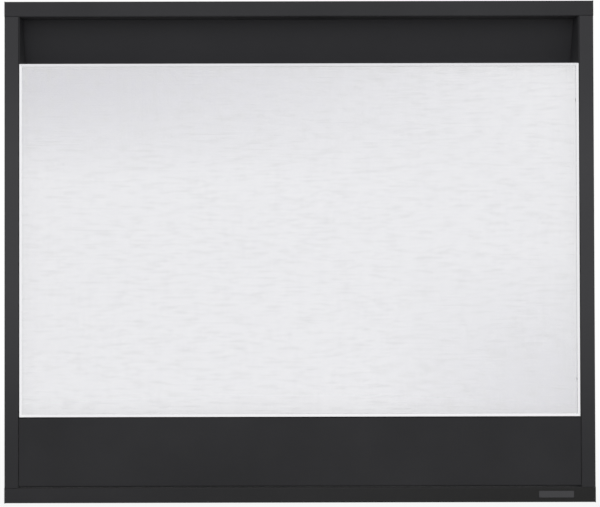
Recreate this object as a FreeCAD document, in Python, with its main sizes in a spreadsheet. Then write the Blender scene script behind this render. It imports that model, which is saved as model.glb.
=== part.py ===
import FreeCAD, Part
import math
import os
import re
import Sketcher

# Mesh fireplace front, in millimetres. It stands on Z = 0, with its width along X and its face toward -Y.
# Every size below becomes a cell of the document's sheet, and formulas in the script name these cells.
SIZES = {
    # Frame of folded sheet: two full-width rails with two stiles between them
    "overall_width": 965,
    "overall_height": 820,
    "frame_depth": 64,
    "face_width": 25,
    "stile_width": 23.2,
    "frame_sheet": 1.5,
    "bend_radius": 0.8,
    "stile_lip": 12,
    "stile_return": 14,
    "top_return": 32,
    "top_back_height": 45,
    "bottom_back_height": 30,
    "shelf_depth": 14,
    # Keyholes in the top rail's back and screw holes in the bottom rail's back
    "keyhole_spacing": 700,
    "keyhole_drop": 16,
    "keyhole_travel": 12,
    "keyhole_slot_radius": 3.25,
    "keyhole_entry_radius": 6,
    "fixing_spacing": 700,
    "fixing_height": 18,
    "fixing_radius": 2.75,
    # Corner brackets, welded to the rails and bolted to studs in the stiles
    "bracket_leg": 80,
    "bracket_width": 18,
    "bracket_sheet": 2,
    "bracket_gap": 4,
    "stud_reach": 60,
    "stud_radius": 2,
    "stud_length": 9,
    "nut_width": 7,
    "nut_height": 3.2,
    "thread_clearance": 0.05,
    "hole_clearance": 0.2,
    # Heat outlet and the sloped deflector behind it
    "outlet_height": 76.8,
    "deflector_sheet": 1.2,
    "deflector_flange": 12,
    "deflector_lip": 5,
    "deflector_margin": 1,
    "deflector_rise": 3,
    "deflector_stud_inset": 55,
    "cheek_setback": 3,
    "fit_gap": 0.3,
    # Screen: angle frame, wire mesh and clamp strips
    "screen_gap": 1.2,
    "side_gap": 0.5,
    "screen_setback": 1.5,
    "screen_face": 5,
    "screen_depth": 20,
    "screen_sheet": 1,
    "screen_bend": 0.3,
    "screen_screw_inset": 60,
    "screen_screw_depth": 8.5,
    "mesh_margin": 0.4,
    "mesh_selvedge": 3.2,
    "mesh_pitch": 5,
    "wire_width": 0.5,
    "clamp_width": 3.4,
    "clamp_sheet": 1.2,
    # Drop-down door on a rod through its rolled lower edge
    "door_height": 112.5,
    "door_sheet": 1.2,
    "door_setback": 1,
    "door_side_gap": 0.7,
    "door_flange": 10,
    "flange_rise": 4,
    "hinge_gap": 0.8,
    "rod_radius": 2.5,
    "rod_clearance": 0.05,
    "rod_end_gap": 0.5,
    "stiffener_sheet": 1,
    "stiffener_depth": 7.5,
    "stiffener_width": 26,
    "stiffener_rim": 8,
    "stiffener_inset": 55,
    # Mid rail behind the joint of screen and door, with magnetic catches and bumpers
    "web_gap": 3.5,
    "mid_web": 26,
    "mid_top": 22,
    "mid_foot": 12,
    "catch_inset": 156.5,
    "catch_drop": 14,
    "catch_height": 14,
    "catch_block": 26,
    "catch_ear": 10,
    "ear_depth": 4,
    "catch_gap": 0.4,
    "magnet_reach": 0.9,
    "magnet_width": 20,
    "magnet_height": 10,
    "magnet_seat": 6,
    "magnet_clearance": 0.1,
    "bumper_width": 14,
    "bumper_height": 5,
    "bumper_gap": 0.2,
    "bumper_inset": 16,
    # Hexagon-head screws, and smaller ones for the catches
    "head_width": 6.35,
    "head_height": 2.6,
    "shank_radius": 1.9,
    "screw_length": 9,
    "small_head_width": 4.8,
    "small_head_height": 1.8,
    "small_shank_radius": 1.4,
    "small_screw_length": 12,
}

doc = FreeCAD.newDocument("fireplace_front")
sheet = doc.addObject("Spreadsheet::Sheet", "Sizes")
for row, (name, size) in enumerate(SIZES.items(), start=1):
    sheet.set(f"A{row}", str(size))
    sheet.setAlias(f"A{row}", name)
doc.recompute()

Vector = FreeCAD.Vector

# Places nearer than this count as one
TOUCH = 1e-4

# Places that several pieces share, as formulas of the sizes
front = "(-frame_depth / 2)"
inner_x = "(overall_width / 2 - stile_width)"
rail_foot = "(overall_height - face_width)"
door_top = "(face_width + hinge_gap + door_height)"
knuckle = "(rod_radius + rod_clearance + door_sheet)"
hinge_y = f"({front} + door_setback + {knuckle})"
hinge_z = f"(face_width + hinge_gap + {knuckle})"
door_half = f"({inner_x} - door_side_gap)"
screen_top = f"({rail_foot} - outlet_height)"
screen_foot = f"({door_top} + screen_gap)"
screen_height = f"({screen_top} - {screen_foot})"
screen_half = f"({inner_x} - side_gap)"
screen_front = f"({front} + screen_setback)"
screw_y = f"({screen_front} + screen_screw_depth)"
screw_levels = (
    f"{screen_foot} + screen_screw_inset",
    f"{screen_top} - screen_screw_inset",
)
back_wall = "(frame_sheet - frame_depth) / 2"
web_y = f"({front} + door_setback + door_flange + web_gap)"
wall_x = "(overall_width / 2 - frame_sheet)"
mid_half = f"({wall_x} - fit_gap)"
mid_stud_y = f"({web_y} + (mid_top + frame_sheet) / 2)"
mid_stud_z = f"({screen_foot} - mid_web / 2)"
catch_x = f"({door_half} - catch_inset)"
catch_z = f"({screen_foot} - catch_drop)"
catch_depth = "(door_flange + web_gap - door_sheet - catch_gap - magnet_reach)"
ear_middle = "(catch_block + catch_ear) / 2"
bracket_y = f"({front} + top_return + bracket_gap + bracket_width / 2)"
deflector_y = "(frame_depth - deflector_margin - deflector_lip)"
deflector_foot = "(deflector_rise - outlet_height)"
deflector_slope = (
    f"(({deflector_y} - top_return - fit_gap) / (frame_sheet - {deflector_foot}))"
)
deflector_skin = f"(deflector_sheet * sqrt(1 + {deflector_slope} ^ 2))"
deflector_half = f"({inner_x} - fit_gap)"
stud_columns = [f"{step} * ({deflector_half} - deflector_stud_inset)" for step in (-1, 0, 1)]
stud_row = f"({front} + top_return - deflector_flange / 2)"


def formula(text):
    """Spells out the size names in a formula as cells of the sheet."""
    return re.sub(r"\b[a-z]+(_[a-z]+)+\b", r"Sizes.\g<0>", text)


def number(text):
    """The value of a formula."""
    return float(sheet.evalExpression(formula(text)))


def spot(*texts):
    """A point whose coordinates are formulas."""
    return Vector(*(number(text) for text in texts))


def place(item, x, y, z):
    """Ties an object's Placement to three formulas."""
    for axis, text in zip("xyz", (x, y, z)):
        item.setExpression(f".Placement.Base.{axis}", formula(text))


def new_body(label, x="0", y="0", z="0"):
    """An empty body whose own origin stands at the given place."""
    body = doc.addObject("PartDesign::Body", label)
    body.Label = label
    place(body, x, y, z)
    return body


def origin_plane(body, role):
    return next(item for item in body.Origin.OriginFeatures if item.Role == role)


def new_sketch(body, role, offset="0"):
    """A sketch on one of the body's origin planes, moved along the plane's normal."""
    sketch = body.newObject("Sketcher::SketchObject", "Sketch")
    sketch.AttachmentSupport = [(origin_plane(body, role), "")]
    sketch.MapMode = "FlatFace"
    sketch.setExpression("AttachmentOffset.Base.z", formula(offset))
    return sketch


def tie(sketch, kind, where, text):
    """Adds one dimension that follows a formula."""
    index = sketch.addConstraint(Sketcher.Constraint(kind, *where, number(text)))
    sketch.setExpression(f"Constraints[{index}]", formula(text))


def eased(corner, here, there):
    """The point where a rounded corner meets its edge toward the next corner."""
    if len(corner) == 2:
        return corner
    x, y, radius = corner
    run, rise = there[0] - here[0], there[1] - here[1]
    if abs(run) > abs(rise):
        return f"{x} {'+' if run > 0 else '-'} {radius}", y
    return x, f"{y} {'+' if rise > 0 else '-'} {radius}"


def bend(sketch, before, after, enter, leave, corner):
    """Joins two square edges with a quarter arc."""
    level = enter[1] == corner[1]
    centre = (enter[0], leave[1]) if level else (leave[0], enter[1])
    middle = spot(*centre, "0")
    arms = [spot(*end, "0") - middle for end in (enter, leave)]
    left_turn = arms[0].cross(arms[1]).z > 0
    start = arms[0] if left_turn else arms[1]
    angle = math.atan2(start.y, start.x)
    ring = Part.Circle(middle, Vector(0, 0, 1), start.Length)
    arc = sketch.addGeometry(Part.ArcOfCircle(ring, angle, angle + math.pi / 2))
    ends = (1, 2) if left_turn else (2, 1)
    sketch.addConstraint(Sketcher.Constraint("Coincident", arc, ends[0], before, 2))
    sketch.addConstraint(Sketcher.Constraint("Coincident", arc, ends[1], after, 1))
    tie(sketch, "DistanceX", (arc, 3), centre[0])


def draw(sketch, corners):
    """Closes an outline through (x, y) formulas; a third formula rounds a corner of two square edges."""
    count = len(corners)
    spots = [(number(corner[0]), number(corner[1])) for corner in corners]
    enter = [eased(corners[i], spots[i], spots[i - 1]) for i in range(count)]
    leave = [eased(corners[i], spots[i], spots[(i + 1) % count]) for i in range(count)]
    first = sketch.GeometryCount
    for i in range(count):
        ends = leave[i], enter[(i + 1) % count]
        sketch.addGeometry(Part.LineSegment(*(spot(*end, "0") for end in ends)))
    for i, corner in enumerate(corners):
        line, before = first + i, first + (i - 1) % count
        tie(sketch, "DistanceX", (line, 1), leave[i][0])
        tie(sketch, "DistanceY", (line, 1), leave[i][1])
        if len(corner) == 2:
            sketch.addConstraint(Sketcher.Constraint("Coincident", before, 2, line, 1))
        else:
            tie(sketch, "DistanceX", (before, 2), enter[i][0])
            tie(sketch, "DistanceY", (before, 2), enter[i][1])
            bend(sketch, before, line, enter[i], leave[i], corner)


def circle(sketch, x, y, radius):
    centre = spot(x, y, "0")
    ring = sketch.addGeometry(Part.Circle(centre, Vector(0, 0, 1), number(radius)))
    tie(sketch, "DistanceX", (ring, 3), x)
    tie(sketch, "DistanceY", (ring, 3), y)
    tie(sketch, "Radius", (ring,), radius)


def rectangle(x_low, y_low, x_high, y_high):
    return [(x_low, y_low), (x_high, y_low), (x_high, y_high), (x_low, y_high)]


def moved(text, way, size):
    return text if way == 0 else f"({text} {'+' if way > 0 else '-'} {size})"


def fold(path, thickness, radius, side):
    """Outline of a folded sheet. The path is one skin, and the sheet lies to its left (1) or right (-1)."""
    spots = [(number(x), number(y)) for x, y in path]
    steps = []
    for (x, y), (next_x, next_y) in zip(spots, spots[1:]):
        length = math.hypot(next_x - x, next_y - y)
        steps.append((round((next_x - x) / length), round((next_y - y) / length)))
    outer_radius = f"({radius} + {thickness})"
    skin, back = [], []
    for i, (x, y) in enumerate(path):
        before, after = steps[max(i - 1, 0)], steps[min(i, len(steps) - 1)]
        normals = {(-side * step[1], side * step[0]) for step in (before, after)}
        across, along = (sum(normal[k] for normal in normals) for k in (0, 1))
        other = (moved(x, across, thickness), moved(y, along, thickness))
        turn = side * (before[0] * after[1] - before[1] * after[0])
        if turn == 0:
            skin.append((x, y))
            back.append(other)
        else:
            radii = (outer_radius, radius) if turn > 0 else (radius, outer_radius)
            skin.append((x, y, radii[0]))
            back.append((*other, radii[1]))
    return skin + back[::-1]


def pad(body, role, outlines, length, offset="0", way="Symmetric"):
    """Pads closed outlines that lie on one of the body's planes."""
    sketch = new_sketch(body, role, offset)
    for corners in outlines:
        draw(sketch, corners)
    feature = body.newObject("PartDesign::Pad", "Pad")
    feature.Profile = sketch
    feature.SideType = way
    feature.setExpression("Length", formula(length))
    return feature


def cut(body, sketch, depth):
    """Cuts a sketch to both sides of its plane, and makes sure that something was cut away."""
    doc.recompute()
    before = body.Shape.Volume
    feature = body.newObject("PartDesign::Pocket", "Pocket")
    feature.Profile = sketch
    feature.SideType = "Symmetric"
    feature.setExpression("Length", formula(depth))
    doc.recompute()
    if body.Shape.Volume >= before:
        raise RuntimeError(f"a cut in {body.Label} removes nothing")


def drill(body, role, holes, depth, offset):
    """Round holes through a wall whose middle lies at the offset from the plane."""
    sketch = new_sketch(body, role, offset)
    for x, y, radius in holes:
        circle(sketch, x, y, radius)
    cut(body, sketch, depth)


def mirror(body, feature, role):
    """Repeats a feature on the far side of one of the body's planes."""
    copy = body.newObject("PartDesign::Mirrored", "Mirrored")
    copy.Originals = [feature]
    copy.MirrorPlane = (origin_plane(body, role), [""])
    body.Tip = copy


def box(label, corner, size):
    """A plain bar: its low corner and its three edges are formulas."""
    bar = doc.addObject("Part::Box", label)
    bar.Label = label
    for edge, text in zip(("Length", "Width", "Height"), size):
        bar.setExpression(edge, formula(text))
    place(bar, *corner)
    return bar


def group(label, solids):
    """One node of separate, identical pieces."""
    node = doc.addObject("Part::Feature", label)
    node.Label = label
    node.Shape = Part.makeCompound(solids)
    return node


def hexagon(width, height):
    """A hexagonal prism on Z, measured across its flats."""
    reach = width / math.sqrt(3)
    angles = [k * math.pi / 3 for k in range(7)]
    corners = [Vector(reach * math.cos(turn), reach * math.sin(turn), 0) for turn in angles]
    return Part.Face(Part.makePolygon(corners)).extrude(Vector(0, 0, height))


def screw(kind, seat, way):
    """A hexagon-head screw whose head sits on its seat and whose shank runs along the given way."""
    width, height, radius, length = (
        number(f"{kind}{part}")
        for part in ("head_width", "head_height", "shank_radius", "screw_length")
    )
    head = hexagon(width, height)
    head.translate(Vector(0, 0, -height))
    solid = head.fuse(Part.makeCylinder(radius, length)).removeSplitter()
    solid.Placement = FreeCAD.Placement(seat, FreeCAD.Rotation(Vector(0, 0, 1), way))
    return solid


def stud(root, way):
    """A plain stud welded to a wall at its root."""
    return Part.makeCylinder(number("stud_radius"), number("stud_length"), root, way)


def nut(seat, way):
    """A hexagon nut that sits on a wall round its stud."""
    height = number("nut_height")
    bore = Part.makeCylinder(number("stud_radius + thread_clearance"), height)
    solid = hexagon(number("nut_width"), height).cut(bore)
    solid.Placement = FreeCAD.Placement(seat, FreeCAD.Rotation(Vector(0, 0, 1), way))
    return solid


def keyhole_slot(sketch, middle, low, high):
    """The narrow, round-topped upper part of a keyhole."""
    left = f"{middle} - keyhole_slot_radius"
    right = f"{middle} + keyhole_slot_radius"
    first = sketch.GeometryCount
    radius = number("keyhole_slot_radius")
    round_top = Part.Circle(spot(middle, high, "0"), Vector(0, 0, 1), radius)
    sketch.addGeometry(Part.LineSegment(spot(left, high, "0"), spot(left, low, "0")))
    sketch.addGeometry(Part.LineSegment(spot(left, low, "0"), spot(right, low, "0")))
    sketch.addGeometry(Part.LineSegment(spot(right, low, "0"), spot(right, high, "0")))
    sketch.addGeometry(Part.ArcOfCircle(round_top, 0, math.pi))
    for k in range(4):
        ends = (first + k, 2, first + (k + 1) % 4, 1)
        sketch.addConstraint(Sketcher.Constraint("Coincident", *ends))
    for line, (x, y) in enumerate(((left, high), (left, low), (right, low)), first):
        tie(sketch, "DistanceX", (line, 1), x)
        tie(sketch, "DistanceY", (line, 1), y)
    tie(sketch, "DistanceX", (first + 3, 1), right)
    tie(sketch, "DistanceY", (first + 3, 1), high)
    tie(sketch, "DistanceY", (first + 3, 3), high)


def round_upright_corners(body, feature, radius):
    """Rounds the upright front edges at both ends of a rail."""
    doc.recompute()
    end, face = number("overall_width / 2"), number(front)
    names = []
    for i, edge in enumerate(feature.Shape.Edges, start=1):
        bounds = edge.BoundBox
        at_end = abs(abs(bounds.Center.x) - end) < TOUCH and bounds.XLength < TOUCH
        if at_end and abs(bounds.YMin - face) < TOUCH and bounds.YLength < TOUCH:
            names.append(f"Edge{i}")
    rounding = body.newObject("PartDesign::Fillet", "Fillet")
    rounding.Base = (feature, names)
    rounding.setExpression("Radius", formula(radius))


def rail(label, level, path, side, low, high, back_low, back_high):
    """A full-width rail: a folded channel with end walls, its tall back notched beside the stiles."""
    body = new_body(label, z=level)
    profile = fold(path, "frame_sheet", "bend_radius", side)
    pad(body, "YZ_Plane", [profile], "overall_width")
    end = "overall_width / 2"
    walls = [
        rectangle(f"-{end}", low, f"-{end} + frame_sheet", high),
        rectangle(f"{end} - frame_sheet", low, end, high),
    ]
    closed = pad(body, "XZ_Plane", walls, "frame_depth")
    round_upright_corners(body, closed, "bend_radius")
    notches = new_sketch(body, "XZ_Plane", back_wall)
    for way in (-1, 1):
        inner = f"{way} * ({end} - stile_lip - fit_gap)"
        draw(notches, rectangle(inner, back_low, f"{way} * {end}", back_high))
    cut(body, notches, "frame_sheet * 2")
    return body


def top_rail():
    """Top rail: face, top, tall back with two keyholes, and the return that roofs the heat outlet."""
    path = [
        ("frame_depth / 2", "-top_back_height"),
        ("frame_depth / 2", "0"),
        (front, "0"),
        (front, "-face_width"),
        (f"{front} + top_return", "-face_width"),
    ]
    ends = ("-face_width", "0")
    notch = ("-top_back_height", "-face_width")
    body = rail("top_rail", "overall_height", path, 1, *ends, *notch)
    slots = new_sketch(body, "XZ_Plane", back_wall)
    entries = new_sketch(body, "XZ_Plane", back_wall)
    low, high = "-keyhole_drop - keyhole_travel", "-keyhole_drop"
    for way in "-+":
        middle = f"0 {way} keyhole_spacing / 2"
        keyhole_slot(slots, middle, low, high)
        circle(entries, middle, low, "keyhole_entry_radius")
    cut(body, slots, "frame_sheet * 2")
    cut(body, entries, "frame_sheet * 2")
    return body


def bottom_rail():
    """Bottom rail: face, base, back with two screw holes, and a shelf under the door's rolled edge."""
    path = [
        ("frame_depth / 2", "bottom_back_height"),
        ("frame_depth / 2", "0"),
        (front, "0"),
        (front, "face_width"),
        (f"{front} + shelf_depth", "face_width"),
    ]
    ends = ("0", "face_width")
    notch = ("face_width", "bottom_back_height")
    body = rail("bottom_rail", "0", path, -1, *ends, *notch)
    holes = [
        (f"0 {way} fixing_spacing / 2", "fixing_height", "fixing_radius")
        for way in "-+"
    ]
    drill(body, "XZ_Plane", holes, "frame_sheet * 2", back_wall)
    return body


def stile(label, hand):
    """Side channel with a rear lip and a short return, drilled for screws and rod. The left has hand 1."""
    body = new_body(label, x=f"{-hand} * overall_width / 2", z="face_width")
    path = [
        (f"{hand} * stile_lip", "frame_depth / 2"),
        ("0", "frame_depth / 2"),
        ("0", front),
        (f"{hand} * stile_width", front),
        (f"{hand} * stile_width", f"{front} + stile_return"),
    ]
    profile = fold(path, "frame_sheet", "bend_radius", hand)
    length = "overall_height - 2 * face_width"
    pad(body, "XY_Plane", [profile], length, way="One side")
    screw_hole = "shank_radius + hole_clearance"
    holes = [(hinge_y, f"{hinge_z} - face_width", "rod_radius + rod_clearance")]
    holes += [(screw_y, f"{z} - face_width", screw_hole) for z in screw_levels]
    wall = f"{hand} * (stile_width - frame_sheet / 2)"
    drill(body, "YZ_Plane", holes, "frame_sheet * 2", wall)
    return body


def corner_bracket(label, hand, up):
    """An angle inside one corner of the frame. One leg lies on the rail, the other is drilled for a stud."""
    corner_z = "overall_height - frame_sheet" if up else "frame_sheet"
    body = new_body(label, f"{-hand} * {wall_x}", bracket_y, corner_z)
    level = -1 if up else 1
    path = [
        ("0", f"{level} * bracket_leg"),
        ("0", "0"),
        (f"{hand} * bracket_leg", "0"),
    ]
    profile = fold(path, "bracket_sheet", "bend_radius", hand * level)
    pad(body, "XZ_Plane", [profile], "bracket_width")
    holes = [("0", f"{level} * stud_reach", "stud_radius + hole_clearance")]
    middle = f"{hand} * bracket_sheet / 2"
    drill(body, "YZ_Plane", holes, "bracket_sheet * 2", middle)
    return body


def corner_fixings():
    """A stud welded inside each end of the stiles, and the nut that clamps a bracket's leg on it."""
    studs, nuts = [], []
    levels = ("frame_sheet + stud_reach", "overall_height - frame_sheet - stud_reach")
    for hand in (1, -1):
        inward = Vector(hand, 0, 0)
        for level in levels:
            root = spot(f"{-hand} * {wall_x}", bracket_y, level)
            studs.append(stud(root, inward))
            nuts.append(nut(root + inward * number("bracket_sheet"), inward))
    return [group("corner_studs", studs), group("corner_nuts", nuts)]


def heat_deflector():
    """Sloped sheet behind the outlet. Its flange lies on the top rail's return, cheeks close its ends."""
    body = new_body("heat_deflector", y=front, z=rail_foot)
    flange_front = "top_return - deflector_flange"
    flange_back = "(top_return + fit_gap)"
    seat, flange_top = "frame_sheet", "frame_sheet + deflector_sheet"
    lip_back = f"{deflector_y} + deflector_lip"
    lip_top = f"{deflector_foot} + deflector_sheet"
    behind = f"{deflector_skin} - {deflector_slope} * deflector_sheet"
    profile = [
        (flange_front, seat),
        (flange_back, seat),
        (deflector_y, deflector_foot),
        (lip_back, deflector_foot),
        (lip_back, lip_top),
        (f"{deflector_y} + {behind}", lip_top),
        (f"{flange_back} + {behind}", flange_top),
        (flange_front, flange_top),
    ]
    pad(body, "YZ_Plane", [profile], f"2 * {deflector_half}")
    cheek_back = f"{flange_back} + {deflector_slope} * (frame_sheet + fit_gap)"
    cheek = [
        ("cheek_setback", "fit_gap - outlet_height"),
        (f"{deflector_y} + {deflector_skin} / 2", deflector_foot),
        (f"{cheek_back} + {deflector_skin} / 2", "-fit_gap"),
        ("cheek_setback", "-fit_gap"),
    ]
    end = f"{deflector_half} - deflector_sheet / 2"
    plate = pad(body, "YZ_Plane", [cheek], "deflector_sheet", end)
    mirror(body, plate, "YZ_Plane")
    row = "top_return - deflector_flange / 2"
    holes = [(x, row, "stud_radius + hole_clearance") for x in stud_columns]
    middle = f"{seat} + deflector_sheet / 2"
    drill(body, "XY_Plane", holes, "deflector_sheet * 2", middle)
    return body


def deflector_fixings():
    """Studs welded to the top rail's return, and the nuts that hold the deflector's flange on them."""
    up = Vector(0, 0, 1)
    roots = [spot(x, stud_row, f"{rail_foot} + frame_sheet") for x in stud_columns]
    studs = [stud(root, up) for root in roots]
    nuts = [nut(root + up * number("deflector_sheet"), up) for root in roots]
    return [group("deflector_studs", studs), group("deflector_nuts", nuts)]


def mid_rail():
    """Channel between the stiles that carries the screen's foot and the door's catches."""
    body = new_body("mid_rail", y=web_y, z=screen_foot)
    path = [("mid_foot", "-mid_web"), ("0", "-mid_web"), ("0", "0"), ("mid_top", "0")]
    profile = fold(path, "frame_sheet", "bend_radius", -1)
    pad(body, "YZ_Plane", [profile], f"2 * {mid_half}")
    end = f"{mid_half} - frame_sheet / 2"
    inside = rectangle(
        "frame_sheet / 2",
        "-mid_web + frame_sheet / 2",
        "mid_top",
        "-frame_sheet / 2",
    )
    plate = pad(body, "YZ_Plane", [inside], "frame_sheet", end)
    mirror(body, plate, "YZ_Plane")
    hole = (f"{mid_stud_y} - {web_y}", "-mid_web / 2", "stud_radius + hole_clearance")
    for way in ("", "-"):
        drill(body, "YZ_Plane", [hole], "frame_sheet * 2", f"{way}({end})")
    small_hole = "small_shank_radius + hole_clearance"
    catches = [
        (f"{side} * {catch_x} {way} {ear_middle}", "-catch_drop", small_hole)
        for side in (-1, 1)
        for way in "-+"
    ]
    drill(body, "XZ_Plane", catches, "frame_sheet * 2", "-frame_sheet / 2")
    return body


def mid_rail_fixings():
    """A stud welded inside each stile and a nut on it hold the end walls of the mid rail."""
    studs, nuts = [], []
    for hand in (1, -1):
        root = spot(f"{-hand} * {wall_x}", mid_stud_y, mid_stud_z)
        inward = Vector(hand, 0, 0)
        studs.append(stud(root, inward))
        nuts.append(nut(root + inward * number("fit_gap + frame_sheet"), inward))
    return [group("mid_rail_studs", studs), group("mid_rail_nuts", nuts)]


def screen_side(label, hand):
    """Upright angle of the screen's frame, mitred at both ends. hand is 1 on the left."""
    body = new_body(label, f"{-hand} * {screen_half}", screen_front, screen_foot)
    path = [
        (f"{hand} * screen_face", "0"),
        ("0", "0"),
        ("0", "screen_depth"),
    ]
    profile = fold(path, "screen_sheet", "screen_bend", -hand)
    pad(body, "XY_Plane", [profile], screen_height, way="One side")
    reach = f"{hand} * 2 * screen_face"
    mitres = new_sketch(body, "XZ_Plane")
    draw(mitres, [("0", "0"), (reach, "0"), (reach, "2 * screen_face")])
    high = f"{screen_height} - 2 * screen_face"
    draw(mitres, [("0", screen_height), (reach, high), (reach, screen_height)])
    cut(body, mitres, "screen_depth * 3")
    hole = "shank_radius + hole_clearance"
    holes = [("screen_screw_depth", f"{z} - {screen_foot}", hole) for z in screw_levels]
    wall = f"{hand} * screen_sheet / 2"
    drill(body, "YZ_Plane", holes, "screen_sheet * 2", wall)
    return body


def screen_bar(label, level, up):
    """Level angle of the screen's frame, mitred at both ends. up is 1 at the top and -1 at the foot."""
    body = new_body(label, "0", screen_front, level)
    path = [
        ("0", f"{-up} * screen_face"),
        ("0", "0"),
        ("screen_depth", "0"),
    ]
    profile = fold(path, "screen_sheet", "screen_bend", -up)
    pad(body, "YZ_Plane", [profile], f"2 * {screen_half}")
    mitres = new_sketch(body, "XZ_Plane")
    low = f"{-up} * 2 * screen_face"
    for way in (-1, 1):
        end = f"{way} * {screen_half}"
        inner = f"{way} * ({screen_half} - 2 * screen_face)"
        draw(mitres, [(end, "0"), (end, low), (inner, low)])
    cut(body, mitres, "screen_depth * 3")
    return body


def mesh_layer(label, upright, y):
    """One layer of parallel wires between selvedges, as one holed face given the wire's thickness."""
    edge = number("screen_sheet + mesh_margin")
    half = number(screen_half) - edge
    low, high = number(screen_foot) + edge, number(screen_top) - edge
    border, pitch = number("mesh_selvedge"), number("mesh_pitch")
    wire, depth = number("wire_width"), number(y)

    def panel(left, right, bottom, top):
        corners = (
            (left, bottom),
            (right, bottom),
            (right, top),
            (left, top),
            (left, bottom),
        )
        return Part.makePolygon([Vector(x, depth, z) for x, z in corners])

    wires = [panel(-half, half, low, high)]
    start, stop = (-half, half) if upright else (low, high)
    count = int((stop - start - 2 * border) // pitch)
    first = (start + stop - count * pitch + wire) / 2
    for k in range(count):
        near = first + k * pitch
        far = near + pitch - wire
        if upright:
            wires.append(panel(near, far, low + border, high - border))
        else:
            wires.append(panel(-half + border, half - border, near, far))
    node = doc.addObject("Part::Feature", label)
    node.Label = label
    face = Part.makeFace(wires, "Part::FaceMakerBullseye")
    node.Shape = face.extrude(Vector(0, wire, 0))
    return node


def mesh_clamps():
    """Flat strips behind the mesh's edges that clamp it against the screen's frame."""
    edge = "(screen_sheet + mesh_margin)"
    y = f"{screen_front} + screen_sheet + 2 * wire_width"
    half = f"({screen_half} - {edge})"
    low, high = f"({screen_foot} + {edge})", f"({screen_top} - {edge})"
    upright = ("clamp_width", "clamp_sheet", f"{high} - {low}")
    level = (f"2 * ({half} - clamp_width)", "clamp_sheet", "clamp_width")
    inner = f"-{half} + clamp_width"
    return [
        box("mesh_clamp_left", (f"-{half}", y, low), upright),
        box("mesh_clamp_right", (f"{half} - clamp_width", y, low), upright),
        box("mesh_clamp_bottom", (inner, y, low), level),
        box("mesh_clamp_top", (inner, y, f"{high} - clamp_width"), level),
    ]


def screen_screws():
    """Two screws on each side through the screen's frame into the stiles."""
    screws = []
    for hand in (1, -1):
        for z in screw_levels:
            seat = spot(f"{-hand} * ({screen_half} - screen_sheet)", screw_y, z)
            screws.append(screw("", seat, Vector(-hand, 0, 0)))
    return group("screen_screws", screws)


def hinge_rod():
    """Rod through the door's rolled edge and both stiles' returns, trapped between their outer walls."""
    rod = doc.addObject("Part::Cylinder", "hinge_rod")
    rod.Label = "hinge_rod"
    half = f"({wall_x} - rod_end_gap)"
    rod.setExpression("Radius", formula("rod_radius"))
    rod.setExpression("Height", formula(f"2 * {half}"))
    rod.Placement.Rotation = FreeCAD.Rotation(Vector(0, 1, 0), 90)
    place(rod, f"-{half}", hinge_y, hinge_z)
    return rod


def catch_housing(label, side):
    """Plastic body of a magnetic catch: a block with a screw ear at each end and a seat for the magnet."""
    body = new_body(label, f"{side} * {catch_x}", web_y, catch_z)
    end, block = "(catch_block / 2 + catch_ear)", "catch_block / 2"
    outline = [
        (f"-{end}", "0"),
        (end, "0"),
        (end, "-ear_depth"),
        (block, "-ear_depth"),
        (block, f"-{catch_depth}"),
        (f"-{block}", f"-{catch_depth}"),
        (f"-{block}", "-ear_depth"),
        (f"-{end}", "-ear_depth"),
    ]
    pad(body, "XY_Plane", [outline], "catch_height")
    seat = new_sketch(body, "XZ_Plane", catch_depth)
    wide = "magnet_width / 2 + magnet_clearance"
    tall = "magnet_height / 2 + magnet_clearance"
    draw(seat, rectangle(f"-({wide})", f"-({tall})", wide, tall))
    cut(body, seat, "2 * magnet_seat")
    hole = "small_shank_radius + hole_clearance"
    holes = [(f"{way} * {ear_middle}", "0", hole) for way in (-1, 1)]
    drill(body, "XZ_Plane", holes, "2 * ear_depth", "ear_depth / 2")
    return body


def catch_magnet(label, side):
    """Bar magnet on the floor of its seat, standing a little proud of the housing."""
    corner = (
        f"{side} * {catch_x} - magnet_width / 2",
        f"{web_y} - {catch_depth} - magnet_reach",
        f"{catch_z} - magnet_height / 2",
    )
    size = ("magnet_width", "magnet_reach + magnet_seat", "magnet_height")
    return box(label, corner, size)


def catch_screws():
    """Small screws through the catches' ears into the mid rail."""
    screws = []
    for side in (-1, 1):
        for way in (-1, 1):
            x = f"{side} * {catch_x} + {way} * {ear_middle}"
            seat = spot(x, f"{web_y} - ear_depth", catch_z)
            screws.append(screw("small_", seat, Vector(0, 1, 0)))
    return group("catch_screws", screws)


def door_bumpers():
    """Rubber pads on the mid rail that meet the rear edge of the door's top flange."""
    width, height, thick = (
        number(text)
        for text in ("bumper_width", "bumper_height", "web_gap - bumper_gap")
    )
    pads = []
    for side in (-1, 1):
        top = spot(f"{side} * ({door_half} - bumper_inset)", web_y, door_top)
        corner = top - Vector(width / 2, thick, height)
        pads.append(Part.makeBox(width, thick, height, corner))
    return group("door_bumpers", pads)


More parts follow.
